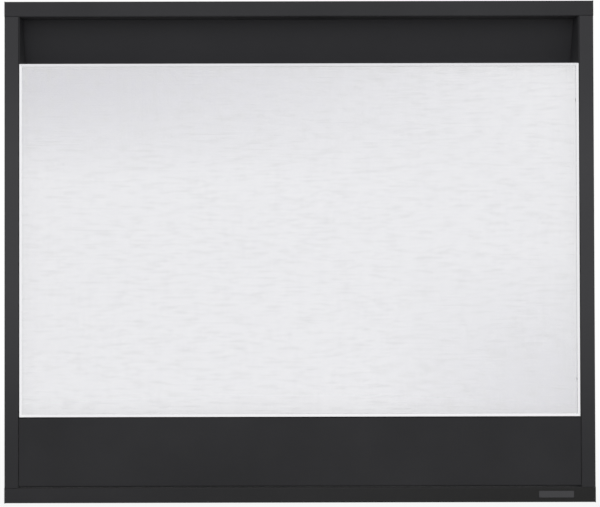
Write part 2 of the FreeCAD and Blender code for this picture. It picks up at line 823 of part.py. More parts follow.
def door_panel():
    """Door: a shallow pan whose lower edge is rolled into a tube round the hinge rod."""
    body = new_body("door_panel", y=hinge_y, z=hinge_z)
    face, top = f"-{knuckle}", f"(door_height - {knuckle})"
    back = f"(door_flange - {knuckle})"
    path = [(back, top), (face, top), (face, "0")]
    profile = fold(path, "door_sheet", "bend_radius", 1)
    width = f"2 * {door_half}"
    pad(body, "YZ_Plane", [profile], width)
    rolled = new_sketch(body, "YZ_Plane")
    circle(rolled, "0", "0", knuckle)
    circle(rolled, "0", "0", "rod_radius + rod_clearance")
    roll = body.newObject("PartDesign::Pad", "Roll")
    roll.Profile = rolled
    roll.SideType = "Symmetric"
    roll.setExpression("Length", formula(width))
    end = f"{door_half} - door_sheet / 2"
    side = rectangle(
        f"{face} + door_sheet / 2",
        f"{knuckle} + flange_rise",
        back,
        f"{top} - door_sheet / 2",
    )
    flange = pad(body, "YZ_Plane", [side], "door_sheet", end)
    mirror(body, flange, "YZ_Plane")
    return body


def door_stiffener():
    """Hat channel welded along the inside of the door's face."""
    body = new_body(
        "door_stiffener",
        y=f"{front} + door_setback + door_sheet",
        z="face_width + hinge_gap + door_height / 2",
    )
    half, rim = "stiffener_width / 2", "(stiffener_width / 2 + stiffener_rim)"
    crown = "(stiffener_depth - stiffener_sheet)"
    path = [
        ("0", f"-{rim}"),
        ("0", f"-{half}"),
        (crown, f"-{half}"),
        (crown, half),
        ("0", half),
        ("0", rim),
    ]
    profile = fold(path, "stiffener_sheet", "bend_radius", -1)
    pad(body, "YZ_Plane", [profile], f"2 * ({door_half} - stiffener_inset)")
    return body


pieces = [
    top_rail(),
    bottom_rail(),
    stile("left_stile", 1),
    stile("right_stile", -1),
    corner_bracket("corner_bracket_top_left", 1, True),
    corner_bracket("corner_bracket_top_right", -1, True),
    corner_bracket("corner_bracket_bottom_left", 1, False),
    corner_bracket("corner_bracket_bottom_right", -1, False),
    *corner_fixings(),
    heat_deflector(),
    *deflector_fixings(),
    mid_rail(),
    *mid_rail_fixings(),
    screen_side("screen_frame_left", 1),
    screen_side("screen_frame_right", -1),
    screen_bar("screen_frame_top", screen_top, 1),
    screen_bar("screen_frame_bottom", screen_foot, -1),
    mesh_layer("mesh_upright_wires", True, f"{screen_front} + screen_sheet"),
    mesh_layer(
        "mesh_cross_wires", False, f"{screen_front} + screen_sheet + wire_width"
    ),
    *mesh_clamps(),
    screen_screws(),
    hinge_rod(),
    catch_housing("catch_housing_left", -1),
    catch_housing("catch_housing_right", 1),
    catch_magnet("catch_magnet_left", -1),
    catch_magnet("catch_magnet_right", 1),
    catch_screws(),
    door_bumpers(),
    door_panel(),
    door_stiffener(),
]

doc.recompute()
for item in doc.Objects:
    if {"Invalid", "Error"} & set(item.State):
        raise RuntimeError(f"{item.Label} failed: {item.State}")
for piece in pieces:
    if piece.Shape.isNull() or not piece.Shape.isValid():
        raise RuntimeError(f"{piece.Label} has no valid shape")

os.makedirs("parts", exist_ok=True)
for piece in pieces:
    piece.Shape.exportStep(f"parts/{piece.Label}.step")
print(f"wrote {len(pieces)} sub-parts")
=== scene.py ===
import math

import bmesh
import bpy
from mathutils import Matrix, Vector, noise


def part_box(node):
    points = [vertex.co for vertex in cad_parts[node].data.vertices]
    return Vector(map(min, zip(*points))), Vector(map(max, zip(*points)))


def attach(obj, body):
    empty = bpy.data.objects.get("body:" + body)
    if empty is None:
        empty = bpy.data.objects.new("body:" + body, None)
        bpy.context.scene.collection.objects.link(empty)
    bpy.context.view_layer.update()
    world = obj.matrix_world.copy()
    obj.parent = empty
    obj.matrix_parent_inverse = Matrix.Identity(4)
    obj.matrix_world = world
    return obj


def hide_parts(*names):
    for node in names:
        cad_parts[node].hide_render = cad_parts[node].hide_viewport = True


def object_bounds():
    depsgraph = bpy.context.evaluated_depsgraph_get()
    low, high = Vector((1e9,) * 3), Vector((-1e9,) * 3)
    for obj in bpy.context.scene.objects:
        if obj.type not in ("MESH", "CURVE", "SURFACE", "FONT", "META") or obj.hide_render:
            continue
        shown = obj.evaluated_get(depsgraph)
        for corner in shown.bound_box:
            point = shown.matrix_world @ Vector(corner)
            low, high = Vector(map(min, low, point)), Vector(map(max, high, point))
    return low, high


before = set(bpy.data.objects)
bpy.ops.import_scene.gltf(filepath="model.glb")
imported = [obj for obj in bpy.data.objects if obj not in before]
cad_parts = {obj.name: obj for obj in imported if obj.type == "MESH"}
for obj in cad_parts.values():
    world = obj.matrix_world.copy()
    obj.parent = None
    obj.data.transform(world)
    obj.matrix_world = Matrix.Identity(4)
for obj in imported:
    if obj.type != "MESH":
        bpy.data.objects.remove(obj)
cad_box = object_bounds()

# Frame: two full-width rails and two stiles of folded sheet steel, sprayed with charcoal powder and baked.
# The powder is a satin skin with a fine orange peel, slightly cloudy in tone and gloss. The stiles' coat
# is painted lighter up to mid-height and a little less so near the top, as painted light. The bottom
# rail's coat is painted darker toward its right end and along its bend under the door, as painted shade,
# and the bend is rougher there.
MM = 0.001
COAT_LOW = "#272729"
COAT_HIGH = "#38383A"
COAT_SPECULAR = 0.12
COAT_GLOSS = (0.42, 0.56)
COAT_CLOUD_MM = 120
COAT_CLOUD_SPAN = (0.3, 0.7)
COAT_PEEL_MM = 1.6
COAT_PEEL_DEPTH_MM = 0.15
COAT_PEEL_STRENGTH = 0.6
STILE_PAINTED_LIGHT = "#3D3D3F"
STILE_PAINTED_LIGHT_RISE = (60 * MM, 330 * MM)
STILE_PAINTED_LIGHT_TOP = "#363638"
STILE_PAINTED_LIGHT_TOP_RISE = (560 * MM, 740 * MM)
RAIL_END_PAINTED_SHADE = "#272727"
BEND_PAINTED_SHADE = "#2F2F30"
BEND_PAINTED_SHADE_RISE = (22.8 * MM, 24.4 * MM)
BEND_DULL_ROUGHNESS = 0.72
# The sockets of a Mix node for colours, which share their names with those for numbers.
MIX_SHARE, MIX_LOW, MIX_HIGH, MIXED = 0, 6, 7, 2


def linear(code):
    """The linear colour of an sRGB hex value."""
    shares = [int(code[k : k + 2], 16) / 255 for k in (1, 3, 5)]
    return (*(s / 12.92 if s <= 0.04045 else ((s + 0.055) / 1.055) ** 2.4 for s in shares), 1)


def add_node(tree, kind, values=None, links=None, **settings):
    """Adds a node with its settings, its inputs' values and its inputs' links."""
    node = tree.nodes.new(kind)
    for name, value in settings.items():
        setattr(node, name, value)
    for socket, value in (values or {}).items():
        node.inputs[socket].default_value = value
    for socket, source in (links or {}).items():
        tree.links.new(source, node.inputs[socket])
    return node


def new_material(name, **values):
    """A material whose shader takes the uniform values, with its tree, shader and place on the object."""
    material = bpy.data.materials.new(name)
    material.use_nodes = True
    tree = material.node_tree
    shader = tree.nodes["Principled BSDF"]
    for socket, value in values.items():
        shader.inputs[socket.replace("_", " ")].default_value = value
    place = add_node(tree, "ShaderNodeTexCoord").outputs["Object"]
    return material, tree, shader, place


def powder_coat(name, low=COAT_LOW, high=COAT_HIGH, cloud_mm=COAT_CLOUD_MM, gloss=COAT_GLOSS):
    """A sprayed and baked coat: clouds in tone, patches in gloss and an orange peel in the surface."""
    material, tree, shader, place = new_material(name, Specular_IOR_Level=COAT_SPECULAR)
    cloud = add_node(
        tree, "ShaderNodeTexNoise", {"Scale": 1 / (cloud_mm * MM), "Detail": 5}, {"Vector": place}
    )
    tone = add_node(
        tree,
        "ShaderNodeMix",
        {MIX_LOW: linear(low), MIX_HIGH: linear(high)},
        {MIX_SHARE: cloud.outputs[0]},
        data_type="RGBA",
    )
    span = {"From Min": COAT_CLOUD_SPAN[0], "From Max": COAT_CLOUD_SPAN[1]}
    patches = add_node(
        tree,
        "ShaderNodeMapRange",
        {**span, "To Min": gloss[0], "To Max": gloss[1]},
        {"Value": cloud.outputs[0]},
    )
    peel = add_node(
        tree, "ShaderNodeTexNoise", {"Scale": 1 / (COAT_PEEL_MM * MM), "Detail": 2}, {"Vector": place}
    )
    bump = add_node(
        tree,
        "ShaderNodeBump",
        {"Strength": COAT_PEEL_STRENGTH, "Distance": COAT_PEEL_DEPTH_MM * MM},
        {"Height": peel.outputs[0]},
    )
    tree.links.new(tone.outputs[MIXED], shader.inputs["Base Color"])
    tree.links.new(patches.outputs[0], shader.inputs["Roughness"])
    tree.links.new(bump.outputs[0], shader.inputs["Normal"])
    return material


def stain(coat, code, axis, clear, full, rough=None):
    """Blends a second colour into a coat along an axis, and a roughness with it where one is given."""
    tree = coat.node_tree
    tint, gloss = (tree.nodes["Principled BSDF"].inputs[name] for name in ("Base Color", "Roughness"))
    place = add_node(tree, "ShaderNodeTexCoord").outputs["Object"]
    way = add_node(tree, "ShaderNodeSeparateXYZ", links={0: place}).outputs[axis]
    reach = {"From Min": clear, "From Max": full}
    share = add_node(tree, "ShaderNodeMapRange", reach, {"Value": way})
    tone = add_node(
        tree,
        "ShaderNodeMix",
        {MIX_HIGH: linear(code)},
        {MIX_SHARE: share.outputs[0], MIX_LOW: tint.links[0].from_socket},
        data_type="RGBA",
    )
    tree.links.new(tone.outputs[MIXED], tint)
    if rough is not None:
        dull = add_node(
            tree,
            "ShaderNodeMapRange",
            {**reach, "To Max": rough},
            {"Value": way, "To Min": gloss.links[0].from_socket},
        )
        tree.links.new(dull.outputs[0], gloss)


def dress(material, *names):
    """Gives a material to CAD nodes."""
    for name in names:
        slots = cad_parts[name].data.materials
        slots.clear()
        slots.append(material)


rail_low, rail_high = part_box("bottom_rail")
charcoal_powder = powder_coat("charcoal_powder_coat")
painted_light_powder = powder_coat("stile_painted_light_powder_coat")
# Painted light on the stiles: lighter from 60 mm up to 330 mm, and a little less light from 560 mm to the
# top.
stain(painted_light_powder, STILE_PAINTED_LIGHT, "Z", *STILE_PAINTED_LIGHT_RISE)
stain(painted_light_powder, STILE_PAINTED_LIGHT_TOP, "Z", *STILE_PAINTED_LIGHT_TOP_RISE)
painted_shade_rail_powder = powder_coat("bottom_rail_painted_shade_powder_coat")
# Painted shade on the bottom rail: its coat darkens from the left end to the right end.
stain(painted_shade_rail_powder, RAIL_END_PAINTED_SHADE, "X", rail_low.x, rail_high.x)
# Painted shade under the door: the rail's upper bend is darker, and rougher, from 22.8 mm up.
stain(painted_shade_rail_powder, BEND_PAINTED_SHADE, "Z", *BEND_PAINTED_SHADE_RISE, BEND_DULL_ROUGHNESS)
dress(charcoal_powder, "top_rail")
dress(painted_light_powder, "left_stile", "right_stile")
dress(painted_shade_rail_powder, "bottom_rail")

# Blank plate near the bottom rail's right end: thin aluminium with rounded corners, stuck on the face.
# It is brushed along its length and dark anodised, a soft graphite grey and a shade lighter than the powder.
PLATE_LENGTH = 57 * MM
PLATE_HEIGHT = 11 * MM
PLATE_THICKNESS = 0.8 * MM
PLATE_CORNER = 1.5 * MM
PLATE_CORNER_STEPS = 5
PLATE_EDGE = 0.25 * MM
PLATE_EDGE_STEPS = 2
ROUND = 0.5
PLATE_INSET = 36 * MM
PLATE_RISE = 13.5 * MM
PLATE_LOW = "#444446"
PLATE_HIGH = "#505052"
PLATE_GLOSS = (0.4, 0.55)
PLATE_LINES_MM = (28.5, 0.4, 0.4)
LINE_STRENGTH = 0.2


def brushed_metal(name, lines_mm, low, high, gloss, depth_mm=0):
    """Metal with fine lines along one axis, in tone and gloss and, given a depth, in the surface.

    The lines' sizes along x, y and z are coarser than real brush lines, so that they show.
    """
    material, tree, shader, place = new_material(name, Metallic=1)
    scale = [1 / (size * MM) for size in lines_mm]
    stretched = add_node(tree, "ShaderNodeVectorMath", {1: scale}, {0: place}, operation="MULTIPLY")
    lines = add_node(
        tree, "ShaderNodeTexNoise", {"Scale": 1, "Detail": 3}, {"Vector": stretched.outputs[0]}
    )
    tone = add_node(
        tree,
        "ShaderNodeMix",
        {MIX_LOW: linear(low), MIX_HIGH: linear(high)},
        {MIX_SHARE: lines.outputs[0]},
        data_type="RGBA",
    )
    sheen = add_node(
        tree, "ShaderNodeMapRange", {"To Min": gloss[0], "To Max": gloss[1]}, {"Value": lines.outputs[0]}
    )
    tree.links.new(tone.outputs[MIXED], shader.inputs["Base Color"])
    tree.links.new(sheen.outputs[0], shader.inputs["Roughness"])
    if depth_mm:
        bump = add_node(
            tree,
            "ShaderNodeBump",
            {"Strength": LINE_STRENGTH, "Distance": depth_mm * MM},
            {"Height": lines.outputs[0]},
        )
        tree.links.new(bump.outputs[0], shader.inputs["Normal"])
    return material


def add_piece(name, shape, material, body, slot, *replaced):
    """Turns a bmesh into a piece of the object that rides a body and may stand for CAD nodes."""
    bmesh.ops.recalc_face_normals(shape, faces=shape.faces)
    mesh = bpy.data.meshes.new(name)
    shape.to_mesh(mesh)
    shape.free()
    mesh.materials.append(material)
    piece = bpy.data.objects.new(name, mesh)
    bpy.context.scene.collection.objects.link(piece)
    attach(piece, body)
    if replaced:
        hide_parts(*replaced)


anodised = brushed_metal("brushed_anodised_aluminium", PLATE_LINES_MM, PLATE_LOW, PLATE_HIGH, PLATE_GLOSS)
shape = bmesh.new()
bmesh.ops.create_cube(shape, size=1)
bmesh.ops.scale(shape, vec=(PLATE_LENGTH, PLATE_THICKNESS, PLATE_HEIGHT), verts=shape.verts)
corners = [e for e in shape.edges if abs(e.verts[0].co.y - e.verts[1].co.y) > PLATE_THICKNESS / 2]
bmesh.ops.bevel(
    shape, geom=corners, offset=PLATE_CORNER, segments=PLATE_CORNER_STEPS, profile=ROUND, affect="EDGES"
)
rim = [e for e in shape.edges if all(v.co.y < 0 for v in e.verts)]
bmesh.ops.bevel(
    shape, geom=rim, offset=PLATE_EDGE, segments=PLATE_EDGE_STEPS, profile=ROUND, affect="EDGES"
)
plate_x = rail_high.x - PLATE_INSET - PLATE_LENGTH / 2
plate_y = rail_low.y - PLATE_THICKNESS / 2
bmesh.ops.translate(shape, vec=(plate_x, plate_y, PLATE_RISE), verts=shape.verts)
add_piece("blank_plate", shape, anodised, "frame", "charcoal_coat")

# Corner brackets: folded steel in the frame's corners, welded to the rails and clamped to the stiles by
# studs and nuts. All are plated with bright zinc, and its passivation makes it a cool, faintly spangled grey
# that goes from blue to straw.
ZINC_COOL = "#A9B0B6"
ZINC_WARM = "#B9B6AA"
ZINC_GLOSS = (0.3, 0.5)
ZINC_SPANGLE_MM = 6
THREAD_PITCH = 0.7 * MM
THREAD_DEPTH = 0.3 * MM
NUT_BORE = 2.05 * MM
HEX_CHAMFER = 0.06
TURN_STEPS = 36
SAME_SPOT = 0.0005 * MM


def solid_boxes(node):
    """The lowest and highest corner of each separate solid in a CAD node."""
    shape = bmesh.new()
    shape.from_mesh(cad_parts[node].data)
    shape.transform(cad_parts[node].matrix_world)
    bmesh.ops.remove_doubles(shape, verts=shape.verts, dist=SAME_SPOT)
    left, boxes = set(shape.verts), []
    while left:
        near, solid = [left.pop()], []
        while near:
            corner = near.pop()
            solid.append(corner.co.copy())
            beside = {e.other_vert(corner) for e in corner.link_edges} & left
            left -= beside
            near += beside
        boxes.append([Vector(map(pick, zip(*solid))) for pick in (min, max)])
    shape.free()
    return boxes


def hexagon(turn, flat):
    """Distance from the middle of a hexagon to its side, at a turn from one of its flats."""
    return flat / math.cos((turn + math.pi / 6) % (math.pi / 3) - math.pi / 6)


def threaded_stud(turn, length, radius):
    """Section of a stud, with its thread drawn as rings."""
    root = radius - THREAD_DEPTH
    section = [(0, 0), (radius, 0)]
    for ring in range(int(length / THREAD_PITCH)):
        section += [(root, (ring + 0.5) * THREAD_PITCH), (radius, (ring + 1) * THREAD_PITCH)]
    return section[:-1] + [(root, length), (0, length)]


def chamfered_nut(turn, length, flat):
    """Section of a hexagon nut with its corners turned off at both faces."""
    side, face = hexagon(turn, flat), flat * (1 - HEX_CHAMFER)
    drop = (side - face) / 2
    outside = [(face, 0), (side, drop), (side, length - drop), (face, length)]
    return [(NUT_BORE, 0), *outside, (NUT_BORE, length), (NUT_BORE, 0)]


def turned_pieces(name, node, outward, section):
    """Puts a plated, turned form in the place of each solid of a CAD node, with its end pointing outward."""
    shape = bmesh.new()
    for low, high in solid_boxes(node):
        middle, spread = (low + high) / 2, high - low
        way = outward(middle)
        along = max(range(3), key=lambda axis: abs(way[axis]))
        width = min(spread[axis] for axis in range(3) if axis != along)
        length = spread[along]
        stand = way.to_track_quat("Z", "Y").to_matrix().to_4x4()
        stand.translation = middle - way * length / 2
        columns = []
        for step in range(TURN_STEPS):
            turn = math.tau * step / TURN_STEPS
            spots = [
                Vector((r * math.cos(turn), r * math.sin(turn), h))
                for r, h in section(turn, length, width / 2)
            ]
            columns.append([shape.verts.new(stand @ spot) for spot in spots])
        for step, column in enumerate(columns):
            beside = columns[(step + 1) % TURN_STEPS]
            for k in range(len(column) - 1):
                shape.faces.new((column[k], beside[k], beside[k + 1], column[k + 1]))
    bmesh.ops.remove_doubles(shape, verts=shape.verts, dist=SAME_SPOT)
    bmesh.ops.dissolve_degenerate(shape, edges=shape.edges, dist=SAME_SPOT)
    add_piece(name, shape, zinc_plate, "frame", "zinc_plate", node)


def inward(middle):
    """The way from a stile to the middle of the front."""
    return Vector((-math.copysign(1, middle.x), 0, 0))


zinc_plate, tree, shader, place = new_material("bright_zinc_plate", Metallic=1)
spangle = add_node(
    tree, "ShaderNodeTexVoronoi", {"Scale": 1 / (ZINC_SPANGLE_MM * MM)}, {"Vector": place}
).outputs["Distance"]
tone = add_node(
    tree,
    "ShaderNodeMix",
    {MIX_LOW: linear(ZINC_COOL), MIX_HIGH: linear(ZINC_WARM)},
    {MIX_SHARE: spangle},
    data_type="RGBA",
)
sheen = add_node(
    tree, "ShaderNodeMapRange", {"To Min": ZINC_GLOSS[0], "To Max": ZINC_GLOSS[1]}, {"Value": spangle}
)
tree.links.new(tone.outputs[MIXED], shader.inputs["Base Color"])
tree.links.new(sheen.outputs[0], shader.inputs["Roughness"])
dress(zinc_plate, "corner_bracket_top_left", "corner_bracket_top_right")
dress(zinc_plate, "corner_bracket_bottom_left", "corner_bracket_bottom_right")
turned_pieces("threaded_corner_studs", "corner_studs", inward, threaded_stud)
turned_pieces("chamfered_corner_nuts", "corner_nuts", inward, chamfered_nut)

# Heat deflector: the sloped panel behind the outlet, folded from sheet and held on the top rail's return by
# studs and nuts. Its stove enamel is a dead, faintly chalky black that stays even in the heat.
ENAMEL_LOW = "#29292B"
ENAMEL_HIGH = "#313133"
ENAMEL_CLOUD_MM = 80
ENAMEL_GLOSS = (0.6, 0.72)


def upward(middle):
    """The way that the deflector's studs stand."""
    return Vector((0, 0, 1))


stove_enamel = powder_coat("matt_stove_enamel", ENAMEL_LOW, ENAMEL_HIGH, ENAMEL_CLOUD_MM, ENAMEL_GLOSS)
dress(stove_enamel, "heat_deflector")
turned_pieces("threaded_deflector_studs", "deflector_studs", upward, threaded_stud)
turned_pieces("chamfered_deflector_nuts", "deflector_nuts", upward, chamfered_nut)

# Mid rail behind the joint of screen and door: a folded channel in the deflector's enamel.
# Its end plates sit on a welded stud in each stile, under a nut.
dress(stove_enamel, "mid_rail")
turned_pieces("threaded_mid_rail_studs", "mid_rail_studs", inward, threaded_stud)
turned_pieces("chamfered_mid_rail_nuts", "mid_rail_nuts", inward, chamfered_nut)

# Screen frame: four mitred angles of stainless strip, with clamp strips behind and screws into the stiles.
# Brushing leaves fine lines along each strip, which spread the reflections across it. Each strip has
# its own copy of the metal: the left and bottom ones are painted lightest, the right one a shade darker
# and the top one darkest, as painted reflection and shade.
STRIP_LIT_AND_SHADED_TONES = {
    "left": ("z", "#F2F2F4", "#F9F9FB"),
    "right": ("z", "#EAEAEC", "#F3F3F5"),
    "top": ("x", "#E0E0E3", "#EAEAED"),
    "bottom": ("x", "#F2F2F4", "#F9F9FB"),
}
STRIP_GLOSS = (0.18, 0.3)
STRIP_LINE_MM = 1.2
STRIP_LINE_RUN_MM = 70
STRIP_LINE_DEPTH_MM = 0.02
HEAD_SHARE = 0.224  # of the screw's length
SHANK_SHARE = 0.598  # of the head's width
DISH_RIM_SHARE = 0.75
DISH_FLOOR_SHARE = 0.6
DISH_DEPTH = 0.3 * MM


def hexagon_screw(turn, length, flat):
    """Section of a screw with a threaded shank and a dished hexagon head."""
    side, face = hexagon(turn, flat), flat * (1 - HEX_CHAMFER)
    neck, shank = length * (1 - HEAD_SHARE), flat * SHANK_SHARE
    root = shank - THREAD_DEPTH
    section = [(0, 0), (root, 0)]
    for ring in range(int(neck / THREAD_PITCH) - 1):
        section += [(shank, (ring + 0.5) * THREAD_PITCH), (root, (ring + 1) * THREAD_PITCH)]
    head = [
        (shank, neck),
        (side, neck),
        (side, length - (side - face) / 2),
        (face, length),
        (face * DISH_RIM_SHARE, length),
        (face * DISH_FLOOR_SHARE, length - DISH_DEPTH),
        (0, length - DISH_DEPTH),
    ]
    return section + head


for side, (along, low, high) in STRIP_LIT_AND_SHADED_TONES.items():
    lines_mm = [STRIP_LINE_RUN_MM if axis == along else STRIP_LINE_MM for axis in "xyz"]
    stainless = brushed_metal(
        f"lit_and_shaded_brushed_stainless_{side}", lines_mm, low, high, STRIP_GLOSS, STRIP_LINE_DEPTH_MM
    )
    dress(stainless, f"screen_frame_{side}", f"mesh_clamp_{side}")
turned_pieces("hexagon_screen_screws", "screen_screws", inward, hexagon_screw)

# Mesh: stainless wire cloth, upright wires in front and cross wires behind, held flat by the clamp strips.
# Drawn wire is bright but not a mirror. Its tone changes along its run, which streaks the cloth faintly.
# Painted shade darkens it and turns it a little violet at the upper left, below the outlet, and at the
# lower right.
WIRE_PITCH = 1.0 * MM  # coarser than the real cloth may be
WIRE_RADIUS = 0.1 * MM
WIRE_SIDES = 5
WIRE_STEP = 36 * MM
WIRE_SHUFFLE = 7.618  # sets the sways of neighbouring wires apart
UPRIGHT_SWAY = 0.15 * MM
CROSS_SWAY = 0.25 * MM
WIRE_ROUGHNESS = 0.42
UPRIGHT_WIRE_LOW = "#BEBECA"
CROSS_WIRE_LOW = "#90909C"
WIRE_HIGH = "#CDCDD7"
# Colours of the painted shade on the wires, dark and a little violet.
WIRE_PAINTED_SHADE_LOW = "#1C1840"
WIRE_PAINTED_SHADE_HIGH = "#48407C"
STREAK_RUN_MM = 28
STREAK_WIDTH_MM = 5.5
STREAK_SPAN = (0.25, 0.52)
OUTLET_SHADE_WIDTH = 830 * MM
OUTLET_SHADE_DEPTH = (35 * MM, 190 * MM)
FOOT_SHADE_WIDTH = 340 * MM
FOOT_SHADE_HEIGHT = 270 * MM
FOOT_SHADE_SHARE = 0.75
mesh_low, mesh_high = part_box("mesh_upright_wires")
# The two patches of painted shade: the upper left below the outlet, and the lower right corner.
outlet_shade_core = (mesh_low.x, mesh_high.z - OUTLET_SHADE_DEPTH[0])
outlet_shade_edge = (mesh_low.x + OUTLET_SHADE_WIDTH, mesh_high.z - OUTLET_SHADE_DEPTH[1])
foot_shade_core = (mesh_high.x, mesh_low.z)
foot_shade_edge = (mesh_high.x - FOOT_SHADE_WIDTH, mesh_low.z + FOOT_SHADE_HEIGHT)


def drawn_wire(name, along, low):
    """Bright drawn wire, streaked along its own run, with painted shade at the upper left and lower right.
    """
    material, tree, shader, place = new_material(name, Metallic=1, Roughness=WIRE_ROUGHNESS)
    scale = [1 / ((STREAK_RUN_MM if axis == along else STREAK_WIDTH_MM) * MM) for axis in "xyz"]
    stretched = add_node(tree, "ShaderNodeVectorMath", {1: scale}, {0: place}, operation="MULTIPLY")
    streaks = add_node(
        tree, "ShaderNodeTexNoise", {"Scale": 1, "Detail": 1}, {"Vector": stretched.outputs[0]}
    )
    between = add_node(
        tree,
        "ShaderNodeMapRange",
        {"From Min": STREAK_SPAN[0], "From Max": STREAK_SPAN[1]},
        {"Value": streaks.outputs[0]},
    )
    bright, shaded_tone = (
        add_node(
            tree,
            "ShaderNodeMix",
            {MIX_LOW: linear(streak), MIX_HIGH: linear(ground)},
            {MIX_SHARE: between.outputs[0]},
            data_type="RGBA",
        )
        for streak, ground in ((low, WIRE_HIGH), (WIRE_PAINTED_SHADE_LOW, WIRE_PAINTED_SHADE_HIGH))
    )
    spread = add_node(tree, "ShaderNodeSeparateXYZ", links={0: place})
    patches = []
    for shade_edge, shade_core, most in ((outlet_shade_edge, outlet_shade_core, 1), (foot_shade_edge, foot_shade_core, FOOT_SHADE_SHARE)):
        sideways = add_node(
            tree,
            "ShaderNodeMapRange",
            {"From Min": shade_edge[0], "From Max": shade_core[0]},
            {"Value": spread.outputs["X"]},
        )
        upright = add_node(
            tree,
            "ShaderNodeMapRange",
            {"From Min": shade_edge[1], "From Max": shade_core[1], "To Max": most},
            {"Value": spread.outputs["Z"]},
        )
        patch = add_node(
            tree,
            "ShaderNodeMath",
            links={0: sideways.outputs[0], 1: upright.outputs[0]},
            operation="MULTIPLY",
        )
        patches.append(patch.outputs[0])
    shade_mask = add_node(tree, "ShaderNodeMath", links=dict(enumerate(patches)), operation="MAXIMUM")
    tone = add_node(
        tree,
        "ShaderNodeMix",
        links={MIX_SHARE: shade_mask.outputs[0], MIX_LOW: bright.outputs[MIXED], MIX_HIGH: shaded_tone.outputs[MIXED]},
        data_type="RGBA",
    )
    tree.links.new(tone.outputs[MIXED], shader.inputs["Base Color"])
    return material


def wire_layer(name, node, upright, sway, material):
    """One layer of parallel wires in the place of a CAD layer, each a closed rod that sways a little."""
    low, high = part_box(node)
    along, across = (2, 0) if upright else (0, 2)
    count = int((high[across] - low[across]) / WIRE_PITCH)
    first = (low[across] + high[across] - (count - 1) * WIRE_PITCH) / 2
    steps = math.ceil((high[along] - low[along]) / WIRE_STEP)
    turns = [math.tau * side / WIRE_SIDES for side in range(WIRE_SIDES)]
    shape = bmesh.new()
    for wire in range(count):
        rings = []
        for step in range(steps + 1):
            run = low[along] + (high[along] - low[along]) * step / steps
            drift = sway * noise.noise(Vector((run / (2 * WIRE_STEP), wire * WIRE_SHUFFLE, across)))
            ring = []
            for turn in turns:
                spot = Vector((0, (low.y + high.y) / 2 + WIRE_RADIUS * math.cos(turn), 0))
                spot[along] = run
                spot[across] = first + wire * WIRE_PITCH + drift + WIRE_RADIUS * math.sin(turn)
                ring.append(shape.verts.new(spot))
            rings.append(ring)
        for near, far in zip(rings, rings[1:]):
            for side in range(WIRE_SIDES):
                shape.faces.new((near[side - 1], near[side], far[side], far[side - 1])).smooth = True
        shape.faces.new(rings[0])
        shape.faces.new(rings[-1])
    add_piece(name, shape, material, "frame", "mesh_wire", node)


upright_wire = drawn_wire("upright_drawn_stainless_wire", "z", UPRIGHT_WIRE_LOW)
cross_wire = drawn_wire("cross_drawn_stainless_wire", "x", CROSS_WIRE_LOW)
wire_layer("upright_wires", "mesh_upright_wires", True, UPRIGHT_SWAY, upright_wire)
wire_layer("cross_wires", "mesh_cross_wires", False, CROSS_SWAY, cross_wire)

# Hinge rod through the door's rolled edge: steel bar, cut to length and held between the stiles' walls.
# Cold drawing leaves long, faint scratches along the bar, and black oxide makes it a dark, bluish grey.
ROD_LOW = "#2A2B2E"
ROD_HIGH = "#3B3C40"
ROD_GLOSS = (0.25, 0.42)
ROD_LINES_MM = (90, 0.5, 0.5)
blackened_bar = brushed_metal("blackened_cold_drawn_steel", ROD_LINES_MM, ROD_LOW, ROD_HIGH, ROD_GLOSS)
dress(blackened_bar, "hinge_rod")

# Magnetic catches under the mid rail: moulded nylon housings with ferrite magnets, held by small screws.
# Moulded nylon has a fine spark-eroded grain, and sintered ferrite is a dull charcoal with pale specks.
NYLON_LOW = "#141415"
NYLON_HIGH = "#1B1B1C"
NYLON_ROUGHNESS = 0.55
NYLON_GRAIN_MM = 0.8
NYLON_GRAIN_DEPTH_MM = 0.04
FERRITE_LOW = "#303033"
FERRITE_HIGH = "#4A4A4D"
FERRITE_ROUGHNESS = 0.5
FERRITE_GRAIN_MM = 0.6
FERRITE_GRAIN_DEPTH_MM = 0.03
GRAINED_SPECULAR = 0.3
GRAIN_STRENGTH = 0.3


def frontward(middle):
    """The way that the catches face."""
    return Vector((0, -1, 0))


def grained(name, low, high, rough, grain_mm, depth_mm):
    """A matt black material with a fine grain in tone and surface, drawn coarse enough to show."""
    material, tree, shader, place = new_material(
        name, Roughness=rough, Specular_IOR_Level=GRAINED_SPECULAR
    )
    grain = add_node(
        tree, "ShaderNodeTexNoise", {"Scale": 1 / (grain_mm * MM), "Detail": 3}, {"Vector": place}
    )
    tone = add_node(
        tree,
        "ShaderNodeMix",
        {MIX_LOW: linear(low), MIX_HIGH: linear(high)},
        {MIX_SHARE: grain.outputs[0]},
        data_type="RGBA",
    )
    bump = add_node(
        tree,
        "ShaderNodeBump",
        {"Strength": GRAIN_STRENGTH, "Distance": depth_mm * MM},
        {"Height": grain.outputs[0]},
    )
    tree.links.new(tone.outputs[MIXED], shader.inputs["Base Color"])
    tree.links.new(bump.outputs[0], shader.inputs["Normal"])
    return material


moulded_nylon = grained(
    "moulded_nylon", NYLON_LOW, NYLON_HIGH, NYLON_ROUGHNESS, NYLON_GRAIN_MM, NYLON_GRAIN_DEPTH_MM
)
sintered_ferrite = grained(
    "sintered_ferrite",
    FERRITE_LOW,
    FERRITE_HIGH,
    FERRITE_ROUGHNESS,
    FERRITE_GRAIN_MM,
    FERRITE_GRAIN_DEPTH_MM,
)
dress(moulded_nylon, "catch_housing_left", "catch_housing_right")
dress(sintered_ferrite, "catch_magnet_left", "catch_magnet_right")
turned_pieces("hexagon_catch_screws", "catch_screws", frontward, hexagon_screw)

